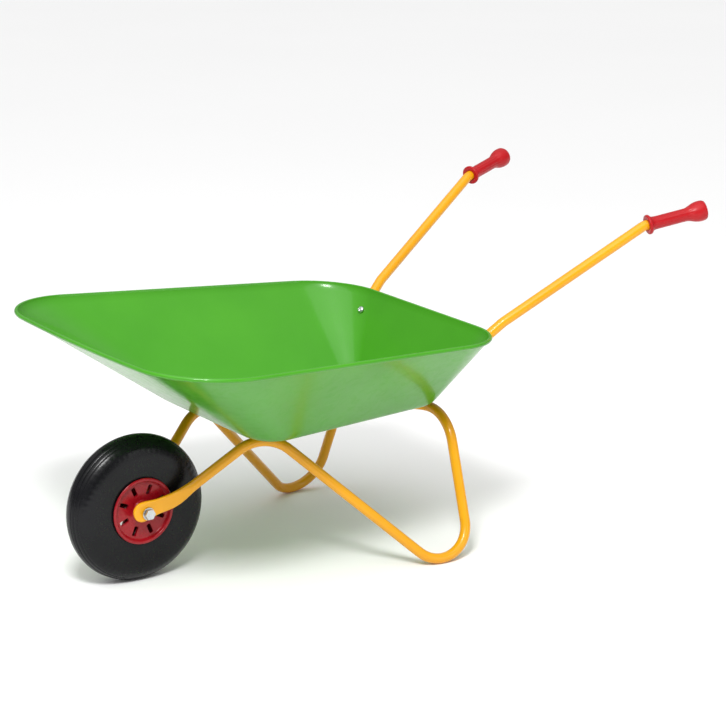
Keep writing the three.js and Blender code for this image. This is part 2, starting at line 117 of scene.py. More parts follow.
# Handles
GRIP_END = Vector((439.2, 227.0, 447.0))
GRIP_START = Vector((358.7, 202.5, 431.4))
HANDLE_KINK = Vector((155.0, 144.6, 309.9))
HANDLE_SCREW = (129.5, 274.6)
TAB = {"thickness": 4.0, "width": 18.0, "neck": 18.0, "tip": 7.0, "flat": 19.0, "blend": 34.0, "dish": 0.0}
TAB_ABOVE = 3.0
TAB_BELOW = 12.0
TAB_GAP = 0.6
HANDLE_SCREW_LENGTH = 13.0
HANDLE_NUT = {"across": 8, "height": 4, "hole": 2.7}
GRIP_LEAD = 5.0
GRIP_BACK = 86.0
GRIP_DEPTH = 82.4
GRIP_FLUTES = 16

# Wheel
WHEEL_SEGMENTS = 160
SLOT_COUNT = 8
SLOT = {"radius": 29.3, "length": 13.5, "width": 6.2}
RIM_BORE = 7.4
BUSH_BORE = 4.06
SPACER = {"y": 28.3, "inner": 4.3, "outer": 7, "height": 4.2}
WASHER = {"y": 36.8, "inner": 4.3, "outer": 8.5, "height": 1.4}
AXLE_NUT = {"across": 13, "height": 6.5, "hole": 4.3}
AXLE_NUT_Y = 41.1
BOLT_FLAT = 6.5
BOLT_RADIUS = 4.0

SIDES = (("left", -1), ("right", 1))


# ---- Mesh helpers ----

def add_piece(name, points, faces, material, body, crease):
    """A mesh from millimetre points, riding on a body and standing for the CAD node it is named after."""
    mesh = bpy.data.meshes.new(name)
    mesh.from_pydata([tuple(Vector(p) * MM) for p in points], [], faces)
    made = bmesh.new()
    made.from_mesh(mesh)
    bmesh.ops.remove_doubles(made, verts=made.verts, dist=1e-7)
    bmesh.ops.dissolve_degenerate(made, edges=made.edges, dist=1e-8)
    bmesh.ops.recalc_face_normals(made, faces=made.faces)
    made.to_mesh(mesh)
    made.free()
    mesh.shade_smooth()
    mesh.set_sharp_from_angle(angle=math.radians(crease))
    piece = bpy.data.objects.new(name, mesh)
    bpy.context.scene.collection.objects.link(piece)
    mesh.materials.append(material)
    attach(piece, body)
    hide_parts(name.removeprefix("look_"))
    return piece


def loft(rows, closed_along=False):
    """Points and faces through rows of equal length. Each row is a closed ring, and open ends are capped."""
    count = len(rows[0])
    points = [p for row in rows for p in row]
    faces = []
    last = len(rows) if closed_along else len(rows) - 1
    for i in range(last):
        here, there = i * count, ((i + 1) % len(rows)) * count
        for j in range(count):
            k = (j + 1) % count
            faces.append((here + j, here + k, there + k, there + j))
    if not closed_along:
        faces.append(tuple(range(count))[::-1])
        faces.append(tuple(len(points) - count + j for j in range(count)))
    return points, faces


def turned(profile, at, axis, segments, radius_share=None):
    """A turned shape about an axis from [radius, height] pairs, either closed or from axis to axis."""
    axis = Vector(axis).normalized()
    turn = Vector((0, 1, 0)).rotation_difference(axis)
    closed = profile[0] == profile[-1]
    pairs = profile[:-1] if closed else profile
    rows = []
    for radius, height in pairs:
        row = []
        for j in range(segments):
            angle = 2 * math.pi * j / segments
            r = radius * (radius_share(angle, radius, height) if radius_share else 1)
            local = Vector((r * math.cos(angle), height, r * math.sin(angle)))
            row.append(Vector(at) + turn @ local)
        rows.append(row)
    return loft(rows, closed_along=closed)


def smooth_profile(pairs, steps=4):
    """Rounds an open profile with a Catmull-Rom curve through its pairs."""
    count = len(pairs)
    made = []
    for i in range(count - 1):
        a, b, c, d = (pairs[min(max(i + k, 0), count - 1)] for k in (-1, 0, 1, 2))
        for s in range(steps):
            t = s / steps
            made.append(tuple(
                0.5 * (2 * b[k] + (c[k] - a[k]) * t + (2 * a[k] - 5 * b[k] + 4 * c[k] - d[k]) * t ** 2
                       + (3 * b[k] - 3 * c[k] + d[k] - a[k]) * t ** 3) for k in (0, 1)))
    made.append(tuple(pairs[-1]))
    return made


def eased(profile, size):
    """A closed profile with each corner cut by a small round."""
    pairs = [Vector(p) for p in profile[:-1]]
    made = []
    for i, corner in enumerate(pairs):
        back, ahead = pairs[i - 1] - corner, pairs[(i + 1) % len(pairs)] - corner
        reach = min(size, back.length * 0.45, ahead.length * 0.45)
        start, end = corner + back.normalized() * reach, corner + ahead.normalized() * reach
        for t in (0, 0.33, 0.67, 1):
            made.append(tuple(start * (1 - t) ** 2 + corner * 2 * t * (1 - t) + end * t ** 2))
    made.append(made[0])
    return made


def mirrored(point, sign):
    return Vector((point[0], sign * point[1], point[2]))


# ---- Materials ----

def new_material(name):
    material = bpy.data.materials.new(name)
    material.use_nodes = True
    nodes, links = material.node_tree.nodes, material.node_tree.links
    shader = nodes["Principled BSDF"]
    where = nodes.new("ShaderNodeTexCoord")
    return material, nodes, links, shader, where.outputs["Object"]


def noise(nodes, links, where, scale, detail=3.0, roughness=0.5, distortion=0.0):
    texture = nodes.new("ShaderNodeTexNoise")
    texture.inputs["Scale"].default_value = scale
    texture.inputs["Detail"].default_value = detail
    texture.inputs["Roughness"].default_value = roughness
    texture.inputs["Distortion"].default_value = distortion
    links.new(where, texture.inputs["Vector"])
    return texture.outputs["Fac"]


def ramp(nodes, links, source, stops):
    node = nodes.new("ShaderNodeValToRGB")
    elements = node.color_ramp.elements
    while len(elements) < len(stops):
        elements.new(0.5)
    for element, (place, colour) in zip(elements, stops):
        element.position = place
        element.color = (*colour, 1.0)
    links.new(source, node.inputs["Fac"])
    return node.outputs["Color"]


def spread(nodes, links, source, low, high, at=(0.3, 0.7)):
    node = nodes.new("ShaderNodeMapRange")
    node.inputs["From Min"].default_value = at[0]
    node.inputs["From Max"].default_value = at[1]
    node.inputs["To Min"].default_value = low
    node.inputs["To Max"].default_value = high
    links.new(source, node.inputs["Value"])
    return node.outputs["Result"]


def bump(nodes, links, source, shader, distance, strength, chain=None):
    node = nodes.new("ShaderNodeBump")
    node.inputs["Distance"].default_value = distance
    node.inputs["Strength"].default_value = strength
    links.new(source, node.inputs["Height"])
    if chain:
        links.new(chain, node.inputs["Normal"])
    links.new(node.outputs["Normal"], shader.inputs["Normal"])
    return node.outputs["Normal"]


def enamel(name, low, high, roughness, peel):
    """Gloss enamel sprayed on steel: slight thickness changes in the colour, orange peel, and fine scuffs."""
    material, nodes, links, shader, where = new_material(name)
    cloud = noise(nodes, links, where, 7.0, 4.0)
    links.new(ramp(nodes, links, cloud, [(0.3, low), (0.7, high)]), shader.inputs["Base Color"])
    scuff = noise(nodes, links, where, 60.0, 8.0, 0.65, 1.2)
    worn = spread(nodes, links, scuff, roughness, roughness + 0.16, (0.45, 0.75))
    links.new(worn, shader.inputs["Roughness"])
    shader.inputs["Specular IOR Level"].default_value = 0.2
    shader.inputs["Coat Weight"].default_value = 0.45
    shader.inputs["Coat Roughness"].default_value = 0.14
    shader.inputs["Coat IOR"].default_value = 1.5
    peel_height = noise(nodes, links, where, 330.0, 2.0)
    wave = noise(nodes, links, where, 22.0, 2.0)
    first = bump(nodes, links, wave, shader, 0.0006, 0.35)
    normal = bump(nodes, links, peel_height, shader, peel, 0.4, first)
    links.new(normal, shader.inputs["Coat Normal"])
    return material


def moulded(name, low, high, roughness, grain, coat):
    """Moulded plastic with a fine grain and faint flow marks."""
    material, nodes, links, shader, where = new_material(name)
    cloud = noise(nodes, links, where, 16.0, 4.0, 0.5, 0.8)
    links.new(ramp(nodes, links, cloud, [(0.3, low), (0.7, high)]), shader.inputs["Base Color"])
    rub = noise(nodes, links, where, 90.0, 6.0, 0.6)
    links.new(spread(nodes, links, rub, roughness - 0.05, roughness + 0.12), shader.inputs["Roughness"])
    shader.inputs["Coat Weight"].default_value = coat
    shader.inputs["Coat Roughness"].default_value = 0.18
    shader.inputs["Specular IOR Level"].default_value = 0.25
    shader.inputs["Subsurface Weight"].default_value = 0.03
    shader.inputs["Subsurface Scale"].default_value = 0.002
    bump(nodes, links, noise(nodes, links, where, 900.0, 2.0), shader, grain, 0.5)
    return material


def rubber(name):
    """Black vinyl rubber: faint grey bloom, fine mould grain and hairline ribs across the shoulder."""
    material, nodes, links, shader, where = new_material(name)
    cloud = noise(nodes, links, where, 12.0, 5.0, 0.55, 0.5)
    stops = [(0.35, (0.003, 0.003, 0.0036)), (0.75, (0.007, 0.007, 0.0085))]
    links.new(ramp(nodes, links, cloud, stops), shader.inputs["Base Color"])
    dust = noise(nodes, links, where, 120.0, 6.0, 0.6)
    links.new(spread(nodes, links, dust, 0.2, 0.3), shader.inputs["Roughness"])
    shader.inputs["Specular IOR Level"].default_value = 0.2
    bump(nodes, links, noise(nodes, links, where, 700.0, 3.0), shader, 0.00012, 0.5)
    return material


def steel(name):
    """Bright zinc plating with a drawn grain and slight clouding."""
    material, nodes, links, shader, where = new_material(name)
    cloud = noise(nodes, links, where, 140.0, 5.0, 0.6, 0.6)
    stops = [(0.3, (0.46, 0.48, 0.51)), (0.7, (0.66, 0.67, 0.69))]
    links.new(ramp(nodes, links, cloud, stops), shader.inputs["Base Color"])
    shader.inputs["Metallic"].default_value = 1.0
    links.new(spread(nodes, links, cloud, 0.22, 0.42), shader.inputs["Roughness"])
    bump(nodes, links, noise(nodes, links, where, 1800.0, 3.0), shader, 0.00004, 0.5)
    return material


GREEN = enamel("green_enamel", (0.046, 0.265, 0.007), (0.058, 0.305, 0.010), 0.3, 0.00008)
YELLOW = enamel("yellow_enamel", (0.70, 0.30, 0.002), (0.77, 0.345, 0.004), 0.3, 0.00006)
GRIP_RED = moulded("grip_plastic", (0.36, 0.0025, 0.006), (0.43, 0.005, 0.009), 0.36, 0.0001, 0.12)
HUB_RED = moulded("hub_plastic", (0.22, 0.002, 0.007), (0.29, 0.004, 0.010), 0.26, 0.00005, 0.2)
BUSH_WHITE = moulded("bush_plastic", (0.70, 0.68, 0.60), (0.80, 0.78, 0.72), 0.4, 0.00006, 0.1)
TYRE_BLACK = rubber("tyre_rubber")
ZINC = steel("zinc_plate")


# ---- Tray ----

def outline(u, plan, corner, bow):
    """One point of a rounded trapezoid and its outward direction. u runs once round the outline."""
    corners = [
        (plan["front"], -plan["front_half"], corner["front"]),
        (plan["rear"], -plan["rear_half"], corner["rear"]),
        (plan["rear"], plan["rear_half"], corner["rear"]),
        (plan["front"], plan["front_half"], corner["front"]),
    ]
    quarter = (u % 1.0) * 4
    i = int(quarter)
    share = quarter - i
    here = Vector(corners[i][:2])
    back = (Vector(corners[(i + 3) % 4][:2]) - here).normalized()
    ahead = (Vector(corners[(i + 1) % 4][:2]) - here).normalized()
    half = math.acos(max(-1.0, min(1.0, back.dot(ahead)))) / 2
    middle = (back + ahead).normalized()
    centre = here + middle * (corners[i][2] / math.sin(half))
    turn = math.pi - 2 * half
    start = math.atan2(-middle.y, -middle.x) - turn / 2
    angle = start + turn * min(share / ARC_SHARE, 1)
    normal = Vector((math.cos(angle), math.sin(angle)))
    point = centre + normal * corners[i][2]
    if share > ARC_SHARE:
        after = outline(((i + 1) % 4) / 4, plan, corner, 0)[0]
        point = point.lerp(Vector((after.x, after.y)), (share - ARC_SHARE) / (1 - ARC_SHARE))
    to_front = max(0.0, min(1.0, (plan["rear"] - point.x) / (plan["rear"] - plan["front"])))
    across = max(-1.0, min(1.0, point.y / plan["front_half"]))
    x = point.x - bow * (1 - across * across) * to_front ** 3
    z = plan["rear_z"] + (plan["front_z"] - plan["rear_z"]) * to_front
    return Vector((x, point.y, z)), normal


def wall_ends(u):
    foot, _ = outline(u, FLOOR, FLOOR_CORNER, 0)
    high, flat = outline(u, RIM, RIM_CORNER, RIM_BOW)
    normal = Vector((flat.x, flat.y, 0))
    bead = high - normal * BEAD_RADIUS
    top = bead - normal * BEAD_RADIUS * 0.6
    top.z -= BEAD_RADIUS * 0.8
    return normal, foot, bead, top


def tray_section(u):
    """The sheet's section at one place round the outline, from the middle underneath to the middle above."""
    normal, foot, bead, top = wall_ends(u)
    middle = Vector(((FLOOR["front"] + FLOOR["rear"]) / 2, 0, FLOOR_Z))
    inset = foot - normal * FLOOR_FILLET
    up = foot.lerp(top, 0.12)
    fillet = [inset * (1 - t) ** 2 + foot * 2 * t * (1 - t) + up * t * t for t in (i / 8 for i in range(9))]
    floor = [middle.lerp(inset, share) for share in (0.0, 0.45, 0.8, 0.96)]
    wall = [foot.lerp(top, share) for share in (0.16, 0.25, 0.4, 0.55, 0.7, 0.85, 0.94)]
    outer = [*floor, *fillet, *wall, top]
    curl = []
    for degrees in CURL_DEGREES:
        angle = math.radians(degrees)
        lift = Vector((0, 0, BEAD_RADIUS * math.sin(angle)))
        curl.append(bead + normal * BEAD_RADIUS * math.cos(angle) + lift)
    inner = []
    for i, point in enumerate(outer):
        inward = WALL_INSET * max(0.0, min(1.0, (i - 4) / 4))
        inner.append(point - normal * inward + Vector((0, 0, SHEET)))
    return [*outer, *curl, *reversed(inner)]


def build_tray():
    rows = [tray_section(i / TRAY_AROUND) for i in range(TRAY_AROUND)]
    count = len(rows[0])
    points = [p for row in rows for p in row]
    faces = []
    for i in range(TRAY_AROUND):
        here, there = i * count, ((i + 1) % TRAY_AROUND) * count
        for j in range(count - 1):
            faces.append((here + j, here + j + 1, there + j + 1, there + j))
    add_piece("look_tray", points, faces, GREEN, "frame", crease=50)


def wall_at(u, z):
    _, foot, _, top = wall_ends(u)
    return foot.lerp(top, (z - foot.z) / (top.z - foot.z))


def rear_wall(y, z, sign):
    """A place in the rear corner of the wall's outside, with its outward normal and the uphill direction."""
    u = 0.5
    while wall_at(u, z).y < y:
        u += 0.0005
    point = wall_at(u, z)
    normal = (wall_at(u + 0.004, z) - wall_at(u - 0.004, z)).cross(wall_at(u, z + 1) - wall_at(u, z - 1))
    normal.normalize()
    uphill = (Vector((0, 0, 1)) - normal * normal.z).normalized()
    return tuple(mirrored(v, sign) for v in (point, normal, uphill))


# ---- Tubes ----

def bent_path(corners):
    """Centre points along straight runs joined by true circular bends."""
    made = [Vector(corners[0][0])]
    for i in range(1, len(corners) - 1):
        corner, bend = Vector(corners[i][0]), corners[i][1]
        back = (Vector(corners[i - 1][0]) - corner).normalized()
        ahead = (Vector(corners[i + 1][0]) - corner).normalized()
        half = back.angle(ahead) / 2
        reach = bend / math.tan(half)
        centre = corner + (back + ahead).normalized() * (bend / math.sin(half))
        start = corner + back * reach
        spoke = start - centre
        axis = -back.cross(ahead).normalized()
        angle = math.pi - 2 * half
        parts = max(2, math.ceil(angle / BEND_STEP))
        for k in range(parts + 1):
            made.append(centre + Quaternion(axis, angle * k / parts) @ spoke)
    made.append(Vector(corners[-1][0]))
    return divided(made)


def divided(points):
    """The same line with no run longer than STRAIGHT_STEP."""
    made = [points[0]]
    for point in points[1:]:
        run = (point - made[-1]).length
        if run < 1e-6:
            continue
        start = made[-1].copy()
        for k in range(1, math.ceil(run / STRAIGHT_STEP) + 1):
            made.append(start.lerp(point, k / math.ceil(run / STRAIGHT_STEP)))
    return made


def refined(points, size, from_start):
    """More points along the pressed end, close together at its rounded tip."""
    line = points if from_start else points[::-1]
    wanted = [0.0, 0.12, 0.4, 0.9, 1.5, 2.3, 3.2, 4.4, 5.8, 7.5, 9.5, 11.5]
    wanted = [w for w in wanted if w < size["tip"]] + [size["tip"]]
    step = size["tip"]
    while step < size["blend"]:
        step += 3.0
        wanted.append(step)
    made = [along(line, w) for w in wanted]
    rest = [p for p, s in zip(line, distances(line)) if s > wanted[-1] + 1.5]
    made += rest
    return made if from_start else made[::-1]


def distances(points):
    made = [0.0]
    for a, b in zip(points, points[1:]):
        made.append(made[-1] + (b - a).length)
    return made


def along(points, distance):
    for a, b, s in zip(points, points[1:], distances(points)):
        run = (b - a).length
        if distance <= s + run:
            return a.lerp(b, (distance - s) / run)
    return points[-1].copy()


def smoothstep(x, low, high):
    t = max(0.0, min(1.0, (x - low) / (high - low)))
    return t * t * (3 - 2 * t)


def pressed_ring(centre, wide, thin, s, size):
    """A round tube's ring that goes flat, dished and round-ended towards the pressed end."""
    blend = 1 - smoothstep(s, size["flat"], size["blend"])
    half_wide = TUBE_RADIUS
    half_thin = TUBE_RADIUS
    power = 2.0
    dish = 0.0
    if blend > 0:
        tip = size["tip"]
        round_off = math.sqrt(max(0.0, 1 - (1 - s / tip) ** 2)) if s < tip else 1.0
        edge = math.sqrt(max(0.0, 1 - (1 - s / 2.2) ** 2)) if s < 2.2 else 1.0
        width = size["width"] + (size["neck"] - size["width"]) * smoothstep(s, tip, 3 * tip)
        half_wide += (width / 2 * max(round_off, 0.02) - TUBE_RADIUS) * blend
        half_thin += (size["thickness"] / 2 * max(edge, 0.05) - TUBE_RADIUS) * blend
        power += 2.4 * blend
        dish = size["dish"] * blend * smoothstep(s, 5, 14)
    ring = []
    for j in range(TUBE_SIDES):
        angle = 2 * math.pi * j / TUBE_SIDES
        c, d = math.cos(angle), math.sin(angle)
        x = math.copysign(abs(c) ** (2 / power), c)
        y = math.copysign(abs(d) ** (2 / power), d)
        y *= 1 - dish * (1 - min(1.0, abs(x) * 1.25) ** 3) / (size["thickness"] / 2)
        ring.append(centre + wide * (half_wide * x) + thin * (half_thin * y))
    return ring


def swept_tube(points, size, thin_direction, from_start=True):
    """Rings along a line, turned as little as possible from one to the next, pressed flat at one end."""
    line = refined(points, size, from_start)
    total = distances(line)[-1]
    rows = []
    tangents = []
    for i in range(len(line)):
        tangents.append((line[min(i + 1, len(line) - 1)] - line[max(i - 1, 0)]).normalized())
    order = range(len(line)) if from_start else range(len(line) - 1, -1, -1)
    reference = Vector(thin_direction)
    frames = {}
    for i in order:
        wide = tangents[i].cross(reference).normalized()
        reference = wide.cross(tangents[i]).normalized()
        frames[i] = (wide, reference.copy())
    for i, s in enumerate(distances(line)):
        wide, thin = frames[i]
        rows.append(pressed_ring(line[i], wide, thin, s if from_start else total - s, size))
    return loft(rows)


def build_side_frames():
    for name, sign in SIDES:
        path = bent_path([(mirrored(at, sign), bend) for at, bend in SIDE_PATH])
        points, faces = swept_tube(path, FORK, (0, 1, 0))
        add_piece(f"look_side_frame_{name}", points, faces, YELLOW, "frame", crease=42)


def build_handles():
    for name, sign in SIDES:
        point, normal, uphill = rear_wall(*HANDLE_SCREW, sign)
        middle = point + normal * (TAB_GAP + TAB["thickness"] / 2)
        start, end = mirrored(GRIP_START, sign), mirrored(GRIP_END, sign)
        grip_axis = (end - start).normalized()
        corners = [
            (end.lerp(start, 0.05), 0),
            (start - grip_axis * GRIP_LEAD, 24),
            (mirrored(HANDLE_KINK, sign), 26),
            (middle + uphill * TAB_ABOVE, 14),
            (middle - uphill * TAB_BELOW, 0),
        ]
        points, faces = swept_tube(bent_path(corners), TAB, normal, from_start=False)
        add_piece(f"look_handle_tube_{name}", points, faces, YELLOW, "frame", crease=42)
        build_grip(name, end - grip_axis * GRIP_BACK, grip_axis)
        build_screw(f"handle_screw_{name}", point - normal * 2.1 * SHEET, -normal, HANDLE_SCREW_LENGTH)
        nut_at = point + normal * (TAB_GAP + TAB["thickness"] + 2.9)
        build_nut(f"handle_nut_{name}", nut_at, normal, HANDLE_NUT)


# ---- Grips ----

def build_grip(name, at, axis):
    bore = TUBE_RADIUS + 0.35
    outside = smooth_profile([
        (12.6, 0.0), (13.6, 0.8), (13.75, 2.4), (13.2, 4.2), (11.0, 6.0), (9.8, 8.4), (9.3, 12.5), (9.2, 20),
        (9.2, 32), (9.2, 45), (9.2, 55), (9.5, 60), (10.6, 64), (12.3, 68.5), (13.6, 73), (14.2, 77),
        (14.3, 80.5), (14.0, 84.5), (13.0, 86.9),
    ])
    cup = smooth_profile([
        (13.0, 86.9), (12.0, 87.0), (11.2, 85.6), (9.0, 84.2), (5.0, 84.0), (0.0, 84.0),
    ])
    profile = [
        (0.0, GRIP_DEPTH), (bore - 0.6, GRIP_DEPTH), (bore, GRIP_DEPTH - 0.6), (bore, 0.6), (bore + 0.6, 0.0),
        (12.0, 0.0),
    ]
    profile += outside + cup[1:]

    def ribs(angle, radius, height):
        if not 8.5 < radius < 12 or not 10 < height < 72:
            return 1.0
        fade = smoothstep(height, 10, 16) * (1 - smoothstep(height, 62, 71))
        return 1 - 0.035 * fade * (0.5 - 0.5 * math.cos(GRIP_FLUTES * angle)) ** 0.6

    points, faces = turned(profile, at, axis, 128, ribs)
    add_piece(f"look_grip_{name}", points, faces, GRIP_RED, "frame", crease=40)


# ---- Fasteners ----

def build_screw(name, seat, direction, length):
    """A domed cross-head screw. The head stands on the seat and the shank runs the other way."""
    head = [(4.7, 0.0), (5.0, 0.35), (4.85, 1.2), (4.2, 2.1), (3.1, 2.7), (1.7, 2.95), (0.0, 3.0)]
    shank = [(0.0, -length), (1.7, -length), (2.3, -length + 0.7)]
    turns = int((length - 2.5) / 0.8)
    for i in range(turns):
        low = -length + 0.9 + 0.8 * i
        shank += [(2.12, low), (2.4, low + 0.4)]
    shank += [(2.2, -1.2), (2.2, -0.05)]
    points, faces = turned([*shank, *head], seat, direction, 48)
    points = [recessed(p, seat, direction) for p in points]
    add_piece(f"look_{name}", points, faces, ZINC, "frame", crease=35)


def recessed(point, seat, direction):
    """Sinks a cross into the top of a domed head."""
    direction = Vector(direction).normalized()
    offset = Vector(point) - Vector(seat)
    height = offset.dot(direction)
    if height < 1.9:
        return point
    turn = direction.rotation_difference(Vector((0, 0, 1)))
    flat = turn @ (offset - direction * height)
    arm = min(abs(flat.x), abs(flat.y))
    reach = max(abs(flat.x), abs(flat.y))
    if arm > 0.75 or reach > 2.7:
        return point
    return Vector(point) - direction * 1.1 * (1 - arm / 1.5)


def build_nut(name, at, direction, size):
    """A hexagon nut with turned-down corners and a chamfered hole."""
    height = size["height"]
    hole = size["hole"]
    h = height / 2
    flat = size["across"] / 2

    def hexagon(angle, radius, level):
        if radius < flat:
            return 1.0
        corner = flat / math.cos((angle % (math.pi / 3)) - math.pi / 6)
        limit = flat * 1.155 - max(0.0, abs(level) - (h - 0.55 * height / 5)) * 1.2
        return min(corner, limit) / radius

    profile = [
        (hole + 0.35, -h), (flat * 0.985, -h), (flat * 1.01, -h + 0.05), (flat * 1.02, -h + 0.25 * h),
        (flat * 1.02, h - 0.25 * h), (flat * 1.01, h - 0.05), (flat * 0.985, h), (hole + 0.35, h),
        (hole, h - 0.35), (hole, -h + 0.35), (hole + 0.35, -h),
    ]
    points, faces = turned(profile, at, direction, 72, hexagon)
    add_piece(f"look_{name}", points, faces, ZINC, body_of(name), crease=28)


def build_floor_screws():
    for place, (x, y) in (("front", FRONT_SCREW), ("rear", REAR_SCREW)):
        for name, sign in SIDES:
            seat = Vector((x, sign * y, FLOOR_Z + SHEET + 0.3))
            build_screw(f"floor_screw_{place}_{name}", seat, (0, 0, 1), FLOOR_SCREW_LENGTH)


def build_ring(name, sign, size):
    """A spacer or washer on the axle."""
    inner, outer, h = size["inner"], size["outer"], size["height"] / 2
    profile = [(inner, -h), (outer, -h), (outer, h), (inner, h), (inner, -h)]
    at = AXLE + Vector((0, sign * size["y"], 0))
    points, faces = turned(eased(profile, 0.3), at, (0, 1, 0), 64)
    add_piece(f"look_{name}", points, faces, ZINC, body_of(name), crease=40)


def body_of(name):
    return frame["nodes"][name]["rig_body"]


# ---- Wheel ----

def build_tyre():
    half = [
        (42.6, 14.0), (42.6, 20.4), (44.0, 21.3), (47.2, 21.9), (53.0, 22.9), (60.0, 23.6), (67.0, 23.95),
        (73.6, 24.0), (80.0, 23.2), (86.0, 21.4), (90.6, 18.4), (93.4, 15.9),
    ]
    shoulder = smooth_profile(half)
    tread = [
        (93.9, 15.2), (93.9, 14.7), (95.6, 13.6), (96.6, 11.8), (97.2, 10.2), (96.6, 9.9), (96.6, 9.3),
        (98.0, 8.8), (98.8, 6.9), (99.2, 5.2), (98.6, 4.9), (98.6, 4.3), (99.6, 3.9), (99.9, 1.6),
    ]
    outside = [*shoulder, *tread]
    inside = [(49.0, 16.4), (58.0, 19.4), (72.0, 19.8), (82.0, 17.6), (91.0, 11.0), (95.6, 0.0)]
    profile = [*outside, (100.0, 0.0), *flipped(outside), *flipped(inside[:-1]), *reversed(inside)]
    profile.append(profile[0])
    points, faces = turned(profile, AXLE, (0, 1, 0), 256)
    points = [ribbed(p) for p in points]
    add_piece("look_tyre", points, faces, TYRE_BLACK, "wheel", crease=48)


def flipped(pairs):
    """The same profile on the wheel's other side, followed backwards."""
    return [(radius, -y) for radius, y in reversed(pairs)]


def ribbed(point):
    """Hairline ribs across the tyre's shoulders."""
    offset = Vector(point) - AXLE
    radius = math.hypot(offset.x, offset.z)
    if abs(offset.y) < 14 or radius < 76:
        return point
    fade = smoothstep(radius, 77, 83) * (1 - smoothstep(radius, 89, 93))
    angle = math.atan2(offset.z, offset.x)
    depth = 0.22 * fade * (0.5 + 0.5 * math.cos(64 * angle))
    inward = Vector((offset.x / radius, math.copysign(0.9, offset.y), offset.z / radius)).normalized()
    return Vector(point) - inward * depth


def build_rims():
    profile = [
        (RIM_BORE, 0.2), (12, 0.2), (12.6, 16.6), (36.4, 16.6), (38, 14), (38, 0.2), (41.6, 0.2),
        (41.9, 20.8), (45.4, 22.9), (45.3, 24.4), (43.6, 25.3), (41.2, 24.9), (39.9, 21.6), (38.9, 20.2),
        (14.8, 19.8), (13.4, 20.6), (12.9, 23.6), (RIM_BORE, 23.6), (RIM_BORE, 0.2),
    ]
    for name, sign in SIDES:
        axis = Vector((0, sign, 0))
        points, faces = turned(eased(profile, 0.9), AXLE, axis, WHEEL_SEGMENTS)
        rim = add_piece(f"look_wheel_rim_{name}", points, faces, HUB_RED, "wheel", crease=36)
        cut_slots(rim, sign)


def slot_cutter(sign):
    """Eight box cutters for the slots and one round one for the valve, as a single mesh in metres."""
    made = bmesh.new()
    for i in range(SLOT_COUNT):
        angle = 2 * math.pi * (i + 0.5) / SLOT_COUNT
        place = Matrix.Translation(AXLE * MM) @ Matrix.Rotation(angle, 4, "Y")
        place = place @ Matrix.Translation(Vector((SLOT["radius"], sign * 18.5, 0)) * MM)
        place = place @ Matrix.Diagonal(Vector((SLOT["length"], 12, SLOT["width"], 1 / MM)) * MM)
        block = bmesh.ops.create_cube(made, size=1.0, matrix=place)
        edges = {e for v in block["verts"] for e in v.link_edges}
        upright = [e for e in edges if abs((e.verts[0].co - e.verts[1].co).normalized().y) > 0.9]
        bmesh.ops.bevel(made, geom=upright, offset=0.9 * MM, segments=3, affect="EDGES")
    place = Matrix.Translation((AXLE + Vector((40, 0, 0))) * MM) @ Matrix.Rotation(math.pi / 2, 4, "Y")
    bmesh.ops.create_cone(made, cap_ends=True, segments=32, radius1=3.5 * MM, radius2=3.5 * MM,
                          depth=16 * MM, matrix=place)
    mesh = bpy.data.meshes.new("slot_cutter")
    made.to_mesh(mesh)
    made.free()
    return mesh


def cut_slots(rim, sign):
    cutter = bpy.data.objects.new("slot_cutter", slot_cutter(sign))
    bpy.context.scene.collection.objects.link(cutter)
    boolean = rim.modifiers.new("slots", "BOOLEAN")
    boolean.solver = "EXACT"
    boolean.object = cutter
    bpy.context.view_layer.update()
    mesh = bpy.data.meshes.new_from_object(rim.evaluated_get(bpy.context.evaluated_depsgraph_get()))
    rim.modifiers.clear()
    rim.data = mesh
    bpy.data.objects.remove(cutter)
    mesh.shade_smooth()
    mesh.set_sharp_from_angle(angle=math.radians(36))


def build_bushes():
    profile = [
        (BUSH_BORE, 0.4), (RIM_BORE - 0.35, 0.4), (RIM_BORE - 0.35, 24), (10.4, 24), (10.4, 25.8),
        (BUSH_BORE, 25.8), (BUSH_BORE, 0.4),
    ]
    for name, sign in SIDES:
        points, faces = turned(eased(profile, 0.4), AXLE, (0, sign, 0), 72)
        add_piece(f"look_hub_bush_{name}", points, faces, BUSH_WHITE, "wheel", crease=36)


def build_axle():
    for name, sign in SIDES:
        build_ring(f"axle_spacer_{name}", sign, SPACER)
        build_ring(f"axle_washer_{name}", sign, WASHER)
    build_bolt()
    build_nut("axle_nut", AXLE + Vector((0, AXLE_NUT_Y, 0)), (0, 1, 0), AXLE_NUT)


def build_bolt():
    """A hexagon-headed bolt with a washer face, a chamfered end and a threaded tail."""

    def hexagon(angle, radius, level):
        if radius <= BOLT_FLAT * 0.97 or level > -37.8:
            return 1.0
        return min(BOLT_FLAT / math.cos((angle % (math.pi / 3)) - math.pi / 6), radius * 1.13) / radius

    profile = [
        (0.0, -42.5), (4.6, -42.5), (5.9, -42.8), (6.35, -42.6), (6.6, -42.0), (6.62, -38.6), (6.4, -38.0),
        (6.1, -37.8), (BOLT_RADIUS, -37.8),
    ]
    level = 30.0
    profile.append((BOLT_RADIUS, level))
    while level < 44.6:
        profile += [(3.62, level + 0.5), (BOLT_RADIUS, level + 1.0)]
        level += 1.0
    profile += [(3.4, 46.0), (0.0, 46.0)]
    points, faces = turned(profile, AXLE, (0, 1, 0), 72, hexagon)
    add_piece("look_axle_bolt", points, faces, ZINC, body_of("axle_bolt"), crease=30)


